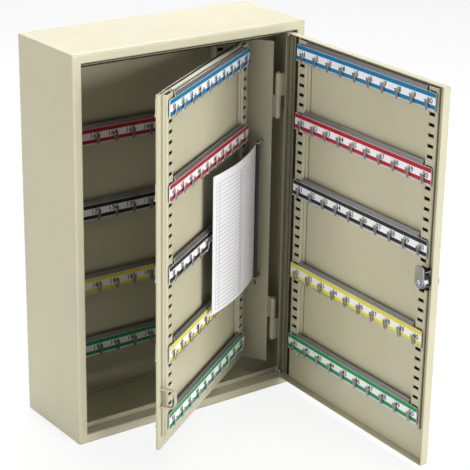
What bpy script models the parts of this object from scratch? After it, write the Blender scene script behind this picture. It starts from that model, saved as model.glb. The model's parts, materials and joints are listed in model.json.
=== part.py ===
"""Wall key cabinet for 200 keys: a steel shell, a hinged door, an L-shaped swing leaf and hook bars.

Units are metres. +X is right, +Y points into the wall and +Z is up. The origin is the centre of
the back face. The pieces are drawn with the door, the leaf, the lock and the index closed, and
empties on their hinge axes turn them to the open position.
"""

import math

import bmesh
import bpy
from mathutils import Matrix, Vector

# Cabinet
WIDTH = 0.372
HEIGHT = 0.550
DEPTH = 0.140
SHEET = 0.0012
CORNER_RADIUS = 0.0025
FRONT_BEND = 0.003
FLANGE = 0.013
REBATE = 0.020
LIP_SIDE = 0.0015
LIP_END = 0.007
BACK_TRAY_DEPTH = 0.012
WALL_HOLE_RADIUS = 0.004
WALL_HOLE_INSET_X = 0.030
WALL_HOLE_INSET_Z = 0.060

# Door
DOOR_GAP = 0.0015
DOOR_HINGE_GAP = 0.0025
DOOR_DEPTH = 0.0122
DOOR_RECESS = 0.0005
DOOR_BEND = 0.0025
DOOR_HINGE_FOLD = 0.0045
DOOR_PIVOT_INSET = 0.008
DOOR_PIVOT_DEPTH = 0.006
DOOR_OPEN_DEG = 88.0
PIVOT_RADIUS = 0.0025
PIVOT_HEAD_RADIUS = 0.0045
PIVOT_HEAD = 0.002
PIVOT_REACH = 0.007

# Swing leaf
LEAF_OPEN_DEG = 34.0
LEAF_AXIS_FROM_LIP = 0.0120
LEAF_AXIS_BEHIND_LIP = 0.003
LEAF_ARM = 0.0465
LEAF_ARM_GAP = 0.0035
LEAF_TOP_GAP = 0.0125
LEAF_BOTTOM_GAP = 0.0097
LEAF_RETURN_DEPTH = 0.0045
LEAF_RETURN = 0.007
LEAF_BEND = 0.0016

# Leaf hinges
KNUCKLE_RADIUS = 0.0045
KNUCKLE_HEIGHT = 0.0325
HINGE_PIN_RADIUS = 0.002
HINGE_PIN_TIP = 0.0015
HINGE_WING = 0.0015
HINGE_WING_LENGTH = 0.017
HINGE_DROP = 0.077
HINGE_RISE = 0.0703

# Hook bars: W is the distance out from the web that carries the bar, V is height over its label top
BAR_OVERHANG = 0.009
BAR_SHEET = 0.0012
BAR_TOP_V = 0.0065
BAR_FACE_W = 0.0030
LABEL_HEIGHT = 0.0205
BAR_LIP_W = 0.0040
BAR_LIP_SHEET = 0.0022
HOOK_COUNT = 10
HOOK_WIDTH = 0.007
HOOK_ELBOW_W = 0.0056
HOOK_TIP_W = 0.0100
HOOK_RISE = 0.0125
TAB_WIDTH = 0.008
TAB_DEPTH = 0.0029
TAB_DROP = 0.0036

# Slotted uprights
SLOT_COUNT = 33
SLOT_WIDTH = 0.011
SLOT_HEIGHT = 0.0046
UPRIGHT_WEB = 0.020
UPRIGHT_HEIGHT = 0.006
UPRIGHT_FLANGE = 0.004
UPRIGHT_TOP_MARGIN = 0.0075
UPRIGHT_BOTTOM_MARGIN = 0.0161
UPRIGHT_BEND = 0.0016
DOOR_SLOTS_FROM_FREE_EDGE = 0.0245
DOOR_SLOTS_FROM_HINGE_EDGE = 0.0435
LEAF_SLOTS_FROM_ARM = 0.0265
LEAF_SLOTS_FROM_FREE_EDGE = 0.0215

# The first slot below the door's inner edge, the leaf's top and the cabinet's top, the room left
# below the leaf's last slot, and the slots that carry the bars counted down from the first
DOOR_SLOT_DROP = 0.0119
LEAF_SLOT_DROP = 0.0091
BACK_SLOT_DROP = 0.0222
LEAF_SLOT_ROOM = 0.0339
DOOR_ROWS = (0, 7, 14, 23, 31)
LEAF_ROWS = (0, 8, 16, 24, 31)
BACK_ROWS = (0, 9, 17, 25, 32)

# Cam lock
LOCK_FROM_FREE_EDGE = 0.013
LOCK_Z = 0.0015
LOCK_RADIUS = 0.009
LOCK_HEAD_RADIUS = 0.011
LOCK_HEAD = 0.0025
LOCK_BORE_RADIUS = 0.0064
LOCK_PLUG_RADIUS = 0.006
LOCK_NUT_FLATS = 0.021
LOCK_NUT = 0.003
LOCK_STUB = 0.006
CAM_SHEET = 0.002
CAM_LENGTH = 0.022
CAM_WIDTH = 0.016
CAM_LIP_GAP = 0.0009
CAM_SCREW_RADIUS = 0.0045
CAM_SCREW = 0.0025
KEYWAY_WIDTH = 0.0016
KEYWAY_HEIGHT = 0.008
KEYWAY_DEPTH = 0.009
LOCK_ROOM = 0.014
LOCK_ROOM_HALF_Z = 0.016

# Pull handle on the leaf
HANDLE_RISE = 0.0896
HANDLE_HEIGHT = 0.027
HANDLE_REACH = 0.022
HANDLE_WIDTH = 0.006
HANDLE_SHEET = 0.0015
HANDLE_BEND = 0.007
HANDLE_FROM_FREE_EDGE = 0.0042

# Index chart on its rod
INDEX_WIDTH = 0.162
INDEX_TOP_Z = 0.095
INDEX_BOTTOM_Z = -0.105
INDEX_SHEET = 0.0008
INDEX_BULGE = 0.008
INDEX_LEAN = 0.003
INDEX_FROM_ARM = 0.015
INDEX_FROM_AXIS = 0.0235
INDEX_ROD_RADIUS = 0.0015
INDEX_ROD_TOP_Z = 0.101
INDEX_ROD_BOTTOM_Z = -0.119
LUG_TOP_Z = 0.097
LUG_BOTTOM_Z = -0.109
LUG_SHEET = 0.0016
LUG_HALF_WIDTH = 0.004
LUG_WALL = 0.0016

# Clearance between pieces that touch, and how far a cutter runs past what it cuts
CLEAR = 0.0003
RUNNING_CLEAR = 0.0004
OVERRUN = 0.001
ROUND_STEPS = 12
BEND_STEPS = 2

# Positions worked out from the sizes above
OPENING_X = WIDTH / 2 - FLANGE
OPENING_Z = HEIGHT / 2 - FLANGE
DOOR_FRONT_Y = -DEPTH + DOOR_RECESS
DOOR_SKIN_Y = DOOR_FRONT_Y + SHEET
DOOR_HINGE_X = OPENING_X - DOOR_HINGE_GAP
DOOR_FREE_X = -OPENING_X + DOOR_GAP
DOOR_HALF_Z = OPENING_Z - DOOR_GAP
DOOR_AXIS = Vector((DOOR_HINGE_X - DOOR_PIVOT_INSET, DOOR_FRONT_Y + DOOR_PIVOT_DEPTH, 0))
SLOT_SPAN = DOOR_HINGE_X - DOOR_FREE_X - DOOR_SLOTS_FROM_FREE_EDGE - DOOR_SLOTS_FROM_HINGE_EDGE
BAR_LENGTH = SLOT_SPAN + 2 * BAR_OVERHANG
HOOK_PITCH = BAR_LENGTH / HOOK_COUNT
FLANGE_HALF = SLOT_SPAN / 2 - UPRIGHT_WEB / 2
SLOT_V = -BAR_SHEET / 2
DOOR_BARS_X = DOOR_FREE_X + DOOR_SLOTS_FROM_FREE_EDGE + SLOT_SPAN / 2
LIP_Y = -DEPTH + REBATE
LEAF_WIDTH = LEAF_SLOTS_FROM_ARM + SLOT_SPAN + LEAF_SLOTS_FROM_FREE_EDGE
LEAF_TOP_Z = OPENING_Z - LIP_END - LEAF_TOP_GAP
LEAF_BOTTOM_Z = -OPENING_Z + LIP_END + LEAF_BOTTOM_GAP
SLOT_RUN = LEAF_TOP_Z - LEAF_BOTTOM_Z - LEAF_SLOT_DROP - LEAF_SLOT_ROOM
SLOT_PITCH = SLOT_RUN / (SLOT_COUNT - 1)
DOOR_FIRST_SLOT = DOOR_HALF_Z - SHEET - DOOR_SLOT_DROP
LEAF_FIRST_SLOT = LEAF_TOP_Z - LEAF_SLOT_DROP
BACK_FIRST_SLOT = HEIGHT / 2 - BACK_SLOT_DROP
HINGE_TOP_Z = LEAF_TOP_Z - HINGE_DROP
HINGE_BOTTOM_Z = LEAF_BOTTOM_Z + HINGE_RISE
HANDLE_TOP_Z = LEAF_BOTTOM_Z + HANDLE_RISE
LEAF_AXIS = Vector(
    (OPENING_X - LIP_SIDE - LEAF_AXIS_FROM_LIP, LIP_Y + LEAF_AXIS_BEHIND_LIP, 0)
)
LEAF_FACE_Y = LEAF_AXIS.y + LEAF_ARM
LEAF_BARS_X = LEAF_AXIS.x - LEAF_SLOTS_FROM_ARM - SLOT_SPAN / 2
LOCK_X = DOOR_FREE_X + LOCK_FROM_FREE_EDGE
CAM_Y = LIP_Y + SHEET + CAM_LIP_GAP
LOCK_AXIS = Vector((LOCK_X, CAM_Y, LOCK_Z))
ARM_FACE_X = LEAF_AXIS.x - SHEET / 2
INDEX_AXIS = Vector((ARM_FACE_X - INDEX_FROM_ARM, LEAF_AXIS.y + INDEX_FROM_AXIS, 0))

CREAM = (0.70, 0.66, 0.50)
COLOURS = ("blue", "red", "black", "yellow", "green")


def clear_scene():
    for obj in list(bpy.data.objects):
        bpy.data.objects.remove(obj, do_unlink=True)


def material(name, colour, roughness, metallic=0.0):
    made = bpy.data.materials.get(name)
    if made:
        return made
    made = bpy.data.materials.new(name)
    made.use_nodes = True
    shader = made.node_tree.nodes["Principled BSDF"]
    shader.inputs["Base Color"].default_value = (*colour, 1)
    shader.inputs["Roughness"].default_value = roughness
    shader.inputs["Metallic"].default_value = metallic
    return made


def paint():
    return material("cream_paint", CREAM, 0.45)


def chrome():
    return material("chrome", (0.75, 0.75, 0.77), 0.15, 1.0)


def add_object(name, bm, finish, carrier=None):
    """Turns a bmesh drawn in the closed position into a named object that its carrier turns."""
    bmesh.ops.remove_doubles(bm, verts=bm.verts, dist=1e-6)
    bmesh.ops.recalc_face_normals(bm, faces=bm.faces)
    mesh = bpy.data.meshes.new(name)
    bm.to_mesh(mesh)
    bm.free()
    mesh.materials.append(finish)
    mesh.shade_smooth()
    mesh.set_sharp_from_angle(angle=math.radians(35))
    obj = bpy.data.objects.new(name, mesh)
    bpy.context.scene.collection.objects.link(obj)
    if carrier:
        obj.parent = carrier
        obj.matrix_parent_inverse = Matrix.Translation(-Vector(carrier["axis"]))
    return obj


def add_axis(name, place, degrees, carrier=None):
    """An empty on a hinge axis. Pieces that hang on it are drawn closed and turn with it."""
    empty = bpy.data.objects.new(name, None)
    bpy.context.scene.collection.objects.link(empty)
    empty["axis"] = tuple(place)
    empty.location = place
    empty.rotation_euler = (0, 0, math.radians(degrees))
    if carrier:
        empty.parent = carrier
        empty.matrix_parent_inverse = Matrix.Translation(-Vector(carrier["axis"]))
    return empty


def cut(obj, cutter, operation="DIFFERENCE"):
    """A Boolean that stays on the object. The cutter follows the same carrier and isn't rendered."""
    cutter.hide_render = True
    cutter.display_type = "WIRE"
    modifier = obj.modifiers.new(cutter.name, "BOOLEAN")
    modifier.operation = operation
    modifier.object = cutter
    modifier.solver = "EXACT"


def rounded_rectangle(half_x, half_z, radius, steps=2):
    """Corner points of a rounded rectangle, counter-clockwise from the upper right."""
    points = []
    for corner, (side_x, side_z) in enumerate(((1, 1), (-1, 1), (-1, -1), (1, -1))):
        for step in range(steps + 1):
            turn = math.pi / 2 * (corner + step / steps)
            x = side_x * (half_x - radius) + radius * math.cos(turn)
            z = side_z * (half_z - radius) + radius * math.sin(turn)
            points.append((x, z))
    return points


def ring_loft(bm, rings, closed, centre_x=0.0):
    """Skins rounded rectangles given as (half_x, half_z, radius, y), as a tube or with end caps."""
    loops = []
    for half_x, half_z, radius, y in rings:
        outline = rounded_rectangle(half_x, half_z, radius)
        loops.append([bm.verts.new((centre_x + x, y, z)) for x, z in outline])
    count = len(loops[0])
    pairs = list(zip(loops, loops[1:]))
    if closed:
        pairs.append((loops[-1], loops[0]))
    for first, second in pairs:
        for i in range(count):
            j = (i + 1) % count
            bm.faces.new((first[i], first[j], second[j], second[i]))
    if not closed:
        bm.faces.new(loops[0])
        bm.faces.new(loops[-1])


def pan(half_x, half_z, face_y, depth, inward, bend, centre_x=0.0):
    """A sheet pan: a flat face with four edges folded by depth towards inward (+1 or -1 in Y)."""
    bm = bmesh.new()
    rim = face_y + inward * depth
    rings = []
    for step in range(BEND_STEPS + 1):
        turn = math.pi / 2 * step / BEND_STEPS
        shrink = bend * (1 - math.sin(turn))
        y = face_y + inward * bend * (1 - math.cos(turn))
        rings.append((half_x - shrink, half_z - shrink, bend, y))
    rings.append((half_x, half_z, bend, rim))
    inner_radius = max(bend - SHEET, SHEET / 2)
    rings.append((half_x - SHEET, half_z - SHEET, inner_radius, rim))
    rings.append((half_x - SHEET, half_z - SHEET, inner_radius, face_y + inward * SHEET))
    ring_loft(bm, rings, closed=False, centre_x=centre_x)
    return bm


def box(bm, low, high):
    """Adds a box between two corners."""
    low, high = Vector(low), Vector(high)
    made = bmesh.ops.create_cube(bm, size=1)
    middle = (low + high) / 2
    for vert in made["verts"]:
        vert.co = middle + Vector(a * b for a, b in zip(vert.co, high - low))


def cylinder(bm, radius, start, end, steps=ROUND_STEPS):
    """Adds a capped cylinder between two points."""
    start, end = Vector(start), Vector(end)
    along = end - start
    turn = Vector((0, 0, 1)).rotation_difference(along).to_matrix().to_4x4()
    bmesh.ops.create_cone(
        bm,
        cap_ends=True,
        segments=steps,
        radius1=radius,
        radius2=radius,
        depth=along.length,
        matrix=Matrix.Translation((start + end) / 2) @ turn,
    )


def rounded_path(corners, radius, steps=BEND_STEPS):
    """The corner points of an open path with each bend drawn as an arc."""
    points = [Vector(corners[0])]
    for before, here, after in zip(corners, corners[1:], corners[2:]):
        before, here, after = Vector(before), Vector(here), Vector(after)
        into, out = (before - here).normalized(), (after - here).normalized()
        half = into.angle(out) / 2
        reach = radius / math.tan(half)
        centre = here + (into + out).normalized() * radius / math.sin(half)
        first, last = here + into * reach - centre, here + out * reach - centre
        sweep = first.angle_signed(last)
        for step in range(steps + 1):
            spun = first.copy()
            spun.rotate(Matrix.Rotation(-sweep * step / steps, 2))
            points.append(centre + spun)
    points.append(Vector(corners[-1]))
    return points


def strip_outline(path, thickness):
    """The outline of a sheet of this thickness that follows a path, half on each side of it."""
    left, right = [], []
    for i, here in enumerate(path):
        along = []
        if i:
            along.append((here - path[i - 1]).normalized())
        if i < len(path) - 1:
            along.append((path[i + 1] - here).normalized())
        mean = sum(along, Vector((0, 0))).normalized()
        side = Vector((-mean.y, mean.x)) * thickness / 2 / mean.dot(along[0])
        left.append(here + side)
        right.append(here - side)
    return left + right[::-1]


def extrude_outline(bm, outline, place, low, high):
    """Extrudes a 2D outline from low to high. place(a, b, t) gives the 3D point."""
    bottom = [bm.verts.new(place(a, b, low)) for a, b in outline]
    top = [bm.verts.new(place(a, b, high)) for a, b in outline]
    bm.faces.new(bottom)
    bm.faces.new(top)
    for i in range(len(outline)):
        j = (i + 1) % len(outline)
        bm.faces.new((bottom[i], bottom[j], top[j], top[i]))


def standing(x, y, z):
    """Places an outline drawn in plan."""
    return (x, y, z)


def facing_front(x, z, y):
    """Places an outline drawn as seen from the front."""
    return (x, y, z)


def arc_points(centre, radius, start_deg, end_deg, steps):
    points = []
    for step in range(steps + 1):
        turn = math.radians(start_deg + (end_deg - start_deg) * step / steps)
        points.append((centre[0] + radius * math.cos(turn), centre[1] + radius * math.sin(turn)))
    return points


def spin(bm, outline, place, closed=False, steps=ROUND_STEPS):
    """Spins an outline of (radius, t) about the t axis. place(a, b, t) gives the 3D point.

    An open outline starts and ends on the axis, and a closed one makes a tube.
    """
    rings = []
    for radius, t in outline:
        if radius == 0:
            rings.append([bm.verts.new(place(0, 0, t))])
            continue
        circle = arc_points((0, 0), radius, 0, 360, steps)[:-1]
        rings.append([bm.verts.new(place(a, b, t)) for a, b in circle])
    pairs = list(zip(rings, rings[1:]))
    if closed:
        pairs.append((rings[-1], rings[0]))
    for first, second in pairs:
        for i in range(steps):
            j = (i + 1) % steps
            corners = [first[i % len(first)], first[j % len(first)]]
            corners += [second[j % len(second)], second[i % len(second)]]
            bm.faces.new(list(dict.fromkeys(corners)))


# Cabinet body


def cabinet_shell():
    """One folded wrapper: side walls, front flange, rebate for the door and the inner lip."""
    bm = bmesh.new()
    half_x, half_z = WIDTH / 2, HEIGHT / 2
    rings = [(half_x, half_z, CORNER_RADIUS, 0)]
    for step in range(BEND_STEPS + 2):
        turn = math.pi / 2 * step / (BEND_STEPS + 1)
        shrink = FRONT_BEND * (1 - math.cos(turn))
        y = -DEPTH + FRONT_BEND * (1 - math.sin(turn))
        rings.append((half_x - shrink, half_z - shrink, CORNER_RADIUS, y))
    fold = SHEET
    lip_x, lip_z = OPENING_X - LIP_SIDE, OPENING_Z - LIP_END
    rings.append((OPENING_X + fold, OPENING_Z + fold, fold, -DEPTH))
    rings.append((OPENING_X, OPENING_Z, fold, -DEPTH + fold))
    rings.append((OPENING_X, OPENING_Z, fold, LIP_Y))
    rings.append((lip_x, lip_z, fold, LIP_Y))
    rings.append((lip_x, lip_z, fold, LIP_Y + SHEET))
    hidden_x, hidden_z = OPENING_X + SHEET, OPENING_Z + SHEET
    rings.append((hidden_x, hidden_z, fold, LIP_Y + SHEET))
    rings.append((hidden_x, hidden_z, fold, -DEPTH + SHEET + fold))
    inner_x, inner_z = half_x - SHEET, half_z - SHEET
    inner_radius = CORNER_RADIUS - SHEET
    inner_bend = FRONT_BEND - SHEET
    inner_front = -DEPTH + SHEET
    rings.append((hidden_x + fold, hidden_z + fold, fold, inner_front))
    rings.append((inner_x - inner_bend, inner_z - inner_bend, inner_radius, inner_front))
    rings.append((inner_x, inner_z, inner_radius, inner_front + inner_bend))
    rings.append((inner_x, inner_z, inner_radius, 0))
    ring_loft(bm, rings, closed=True)
    shell = add_object("cabinet_shell", bm, paint())
    holes = bmesh.new()
    for sign in (1, -1):
        low = (*DOOR_AXIS.xy, sign * (OPENING_Z - OVERRUN))
        high = (*DOOR_AXIS.xy, sign * (OPENING_Z + SHEET + OVERRUN))
        cylinder(holes, PIVOT_RADIUS + CLEAR, low, high)
    cut(shell, add_object("pivot_holes", holes, paint()))


def back_panel():
    """The back closes the wrapper. It is a shallow tray with four holes for the wall screws."""
    half_x = WIDTH / 2 - SHEET - CLEAR
    half_z = HEIGHT / 2 - SHEET - CLEAR
    tray = pan(half_x, half_z, 0, BACK_TRAY_DEPTH, -1, SHEET * 1.5)
    back = add_object("back_panel", tray, paint())
    holes = bmesh.new()
    for side in (-1, 1):
        for end in (-1, 1):
            x = side * (half_x - WALL_HOLE_INSET_X)
            z = end * (half_z - WALL_HOLE_INSET_Z)
            cylinder(holes, WALL_HOLE_RADIUS, (x, -SHEET - OVERRUN, z), (x, OVERRUN, z))
    cut(back, add_object("wall_holes", holes, paint()))


def pivot_pins():
    """Two headed pins stand in the frame, and the door hangs on them."""
    seat = OPENING_Z + SHEET + CLEAR
    tip = DOOR_HALF_Z - PIVOT_REACH
    outline = (
        (0, seat + PIVOT_HEAD),
        (PIVOT_HEAD_RADIUS, seat + PIVOT_HEAD),
        (PIVOT_HEAD_RADIUS, seat),
        (PIVOT_RADIUS, seat),
        (PIVOT_RADIUS, tip),
        (0, tip),
    )
    for sign, end in ((1, "top"), (-1, "bottom")):

        def upright_pin(a, b, t, sign=sign):
            return (DOOR_AXIS.x + a, DOOR_AXIS.y + b, sign * t)

        bm = bmesh.new()
        spin(bm, outline, upright_pin)
        add_object(f"door_pivot_{end}", bm, chrome())


# Hook bars and slotted uprights


def bar_profile():
    """The section of a hook bar's label face and lip as (W, V) points, from its top edge."""
    inner_w = BAR_FACE_W - BAR_SHEET
    foot_v = -LABEL_HEIGHT - BAR_LIP_SHEET
    return [
        (inner_w, 0),
        (BAR_FACE_W, 0),
        (BAR_FACE_W, -LABEL_HEIGHT),
        (BAR_LIP_W, -LABEL_HEIGHT),
        (BAR_LIP_W, foot_v),
        (inner_w, foot_v),
        (inner_w, -BAR_SHEET),
    ]


def hook_stages():
    """The cross-sections of a hook beyond the lip, its elbow and its tip, as (upper, lower)."""
    lip_v = -LABEL_HEIGHT
    elbow = ((HOOK_ELBOW_W - BAR_SHEET * 0.7, lip_v), (HOOK_ELBOW_W, lip_v - BAR_LIP_SHEET))
    tip_v = lip_v + HOOK_RISE
    tip = ((HOOK_TIP_W - BAR_SHEET, tip_v), (HOOK_TIP_W, tip_v - BAR_SHEET / 2))
    return (elbow, tip)


def flange_stages():
    """The top of the flange that leans back from the label face, as (front, rear)."""
    return (((CLEAR + BAR_SHEET, BAR_TOP_V), (CLEAR, BAR_TOP_V)),)


def tab_stages():
    """The cross-sections of a tab behind the bar. It passes through a slot and turns down."""
    far = CLEAR - TAB_DEPTH
    near = far + BAR_SHEET
    return (((far, 0), (near, -BAR_SHEET)), ((far, -TAB_DROP), (near, -TAB_DROP)))


def along_spans(centres, width):
    """Where a bar's lip is divided, with a span of this width at each centre."""
    edges = [-BAR_LENGTH / 2]
    for centre in centres:
        edges += [centre - width / 2, centre + width / 2]
    edges.append(BAR_LENGTH / 2)
    return edges


def top_spans():
    """Where a bar's top edge is divided: end, tab, gap, flange, gap, tab and end."""
    tab = SLOT_SPAN / 2
    outer = [BAR_LENGTH / 2, tab + TAB_WIDTH / 2, tab - TAB_WIDTH / 2, FLANGE_HALF]
    return [-s for s in outer] + outer[::-1]


def split_edge(bm, upper, lower, marks, growing, stages, place):
    """Closes one long edge face of a bar. The growing spans of it go out through the stages."""
    for i in range(len(marks) - 1):
        ring = [upper[i], upper[i + 1], lower[i + 1], lower[i]]
        if i in growing:
            spans = (marks[i], marks[i + 1])
            for above, below in stages:
                grown = [bm.verts.new(place(s, *above)) for s in spans]
                grown += [bm.verts.new(place(s, *below)) for s in spans[::-1]]
                for a in range(4):
                    b = (a + 1) % 4
                    bm.faces.new((ring[a], ring[b], grown[b], grown[a]))
                ring = grown
        bm.faces.new(ring)


def hook_bar(name, place, carrier):
    """A bent aluminium bar: a flange between the uprights, a label face, ten hooks and two tabs.

    place(s, w, v) gives the 3D point at s along the bar, w out from the web and v up.
    """
    bm = bmesh.new()
    profile = bar_profile()
    hooks = [HOOK_PITCH * (i - (HOOK_COUNT - 1) / 2) for i in range(HOOK_COUNT)]
    lip_marks = along_spans(hooks, HOOK_WIDTH)
    top_marks = top_spans()
    rear, front, lip, back = 0, 1, 3, len(profile) - 1
    marks = [(-BAR_LENGTH / 2, BAR_LENGTH / 2)] * len(profile)
    marks[lip] = marks[lip + 1] = lip_marks
    marks[rear] = marks[front] = marks[back] = top_marks
    lines = []
    for (w, v), stations in zip(profile, marks):
        lines.append([bm.verts.new(place(s, w, v)) for s in stations])
    for i in range(len(lines)):
        if i in (rear, lip, back):
            continue
        bm.faces.new(lines[i] + lines[i + 1][::-1])
    for end in (0, -1):
        bm.faces.new([line[end] for line in lines])
    hook_spans = range(1, 2 * HOOK_COUNT, 2)
    split_edge(bm, lines[lip], lines[lip + 1], lip_marks, hook_spans, hook_stages(), place)
    split_edge(bm, lines[front], lines[rear], top_marks, (3,), flange_stages(), place)
    split_edge(bm, lines[rear], lines[back], top_marks, (1, 5), tab_stages(), place)
    finish = material("satin_aluminium", (0.55, 0.56, 0.58), 0.35, 1.0)
    add_object(name, bm, finish, carrier)


def bar_set(group, centre_x, base_y, facing, first_slot, rows, carrier=None):
    """Two uprights on the sheet at base_y, with five bars. facing is -1 towards the front."""
    for side, hand in ((-1, "left"), (1, "right")):
        x = centre_x + side * SLOT_SPAN / 2
        upright(f"{group}_upright_{hand}", x, base_y, facing, first_slot, carrier)
    web_y = base_y + facing * (CLEAR + UPRIGHT_HEIGHT)
    for colour, row in zip(COLOURS, rows):
        label_z = first_slot - SLOT_V - row * SLOT_PITCH

        def place(s, w, v, z=label_z):
            return (centre_x + s, web_y + facing * w, z + v)

        hook_bar(f"{group}_bar_{colour}", place, carrier)


def upright(name, x, base_y, facing, first_slot, carrier):
    """A hat-section upright: two flanges on the sheet at base_y and a slotted web in front of it."""
    foot_y = base_y + facing * (CLEAR + SHEET / 2)
    crown_y = base_y + facing * (CLEAR + UPRIGHT_HEIGHT - SHEET / 2)
    half = UPRIGHT_WEB / 2 - SHEET / 2
    reach = UPRIGHT_WEB / 2 + UPRIGHT_FLANGE
    corners = (
        (x - reach, foot_y),
        (x - half, foot_y),
        (x - half, crown_y),
        (x + half, crown_y),
        (x + half, foot_y),
        (x + reach, foot_y),
    )
    heights = [first_slot - SLOT_PITCH * i for i in range(SLOT_COUNT)]
    bm = bmesh.new()
    outline = strip_outline(rounded_path(corners, UPRIGHT_BEND, 1), SHEET)
    low = heights[-1] - UPRIGHT_BOTTOM_MARGIN
    extrude_outline(bm, outline, standing, low, heights[0] + UPRIGHT_TOP_MARGIN)
    made = add_object(name, bm, paint(), carrier)
    slots = bmesh.new()
    deep = SHEET / 2 + OVERRUN
    for z in heights:
        low = (x - SLOT_WIDTH / 2, crown_y - deep, z - SLOT_HEIGHT / 2)
        high = (x + SLOT_WIDTH / 2, crown_y + deep, z + SLOT_HEIGHT / 2)
        box(slots, low, high)
    cut(made, add_object(f"{name}_slots", slots, paint(), carrier))


# Door


def door(axis):
    """The door pan, whose fold is lower on the hinge side, and its bars on the inside."""
    centre_x = (DOOR_HINGE_X + DOOR_FREE_X) / 2
    half_x = (DOOR_HINGE_X - DOOR_FREE_X) / 2
    pan_mesh = pan(half_x, DOOR_HALF_Z, DOOR_FRONT_Y, DOOR_DEPTH, 1, DOOR_BEND, centre_x)
    panel = add_object("door_panel", pan_mesh, paint(), axis)
    holes = bmesh.new()
    for sign in (-1, 1):
        low = (*DOOR_AXIS.xy, sign * (DOOR_HALF_Z - SHEET - OVERRUN))
        high = (*DOOR_AXIS.xy, sign * (DOOR_HALF_Z + OVERRUN))
        cylinder(holes, PIVOT_RADIUS + CLEAR, low, high)
    start = (LOCK_X, DOOR_FRONT_Y - OVERRUN, LOCK_Z)
    cylinder(holes, LOCK_RADIUS + CLEAR, start, (LOCK_X, DOOR_SKIN_Y + OVERRUN, LOCK_Z))
    cut(panel, add_object("door_holes", holes, paint(), axis))
    relief = bmesh.new()
    low = (DOOR_HINGE_X - DOOR_BEND - CLEAR, DOOR_FRONT_Y + DOOR_HINGE_FOLD, -DOOR_HALF_Z - OVERRUN)
    high = (DOOR_HINGE_X + OVERRUN, DOOR_FRONT_Y + DOOR_DEPTH + OVERRUN, DOOR_HALF_Z + OVERRUN)
    box(relief, low, high)
    cut(panel, add_object("hinge_relief", relief, paint(), axis))
    bar_set("door", DOOR_BARS_X, DOOR_SKIN_Y, 1, DOOR_FIRST_SLOT, DOOR_ROWS, axis)
    room = bmesh.new()
    deep = UPRIGHT_HEIGHT + CLEAR + OVERRUN
    low = (LOCK_X - LOCK_ROOM, DOOR_SKIN_Y, LOCK_Z - LOCK_ROOM_HALF_Z)
    high = (LOCK_X + LOCK_ROOM, DOOR_SKIN_Y + deep, LOCK_Z + LOCK_ROOM_HALF_Z)
    box(room, low, high)
    beside_lock = bpy.data.objects["door_upright_left"]
    cut(beside_lock, add_object("lock_room", room, paint(), axis))


def on_lock(a, b, y):
    """Places a piece that is turned about the lock's axis."""
    return (LOCK_X + a, y, LOCK_Z + b)


def lock_case(axis):
    """The parts of the cam lock that stay fixed in the door: the barrel and its nut."""
    head_y = DOOR_FRONT_Y - CLEAR - LOCK_HEAD
    seat_y = DOOR_FRONT_Y - CLEAR
    end_y = CAM_Y - RUNNING_CLEAR
    bm = bmesh.new()
    outline = (
        (LOCK_BORE_RADIUS, head_y),
        (LOCK_HEAD_RADIUS - LOCK_HEAD / 3, head_y),
        (LOCK_HEAD_RADIUS, head_y + LOCK_HEAD / 2),
        (LOCK_HEAD_RADIUS, seat_y),
        (LOCK_RADIUS, seat_y),
        (LOCK_RADIUS, end_y),
        (LOCK_BORE_RADIUS, end_y),
    )
    spin(bm, outline, on_lock, closed=True)
    add_object("lock_barrel", bm, chrome(), axis)
    near = DOOR_SKIN_Y + CLEAR
    corner = LOCK_NUT_FLATS / math.sqrt(3)
    hexagon = arc_points((LOCK_X, LOCK_Z), corner, 30, 390, 6)[:-1]
    nut = bmesh.new()
    extrude_outline(nut, hexagon, facing_front, near, near + LOCK_NUT)
    nut_object = add_object("lock_nut", nut, chrome(), axis)
    thread = bmesh.new()
    start = (LOCK_X, near - OVERRUN, LOCK_Z)
    end = (LOCK_X, near + LOCK_NUT + OVERRUN, LOCK_Z)
    cylinder(thread, LOCK_RADIUS + CLEAR, start, end)
    cut(nut_object, add_object("lock_thread", thread, chrome(), axis))


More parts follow.
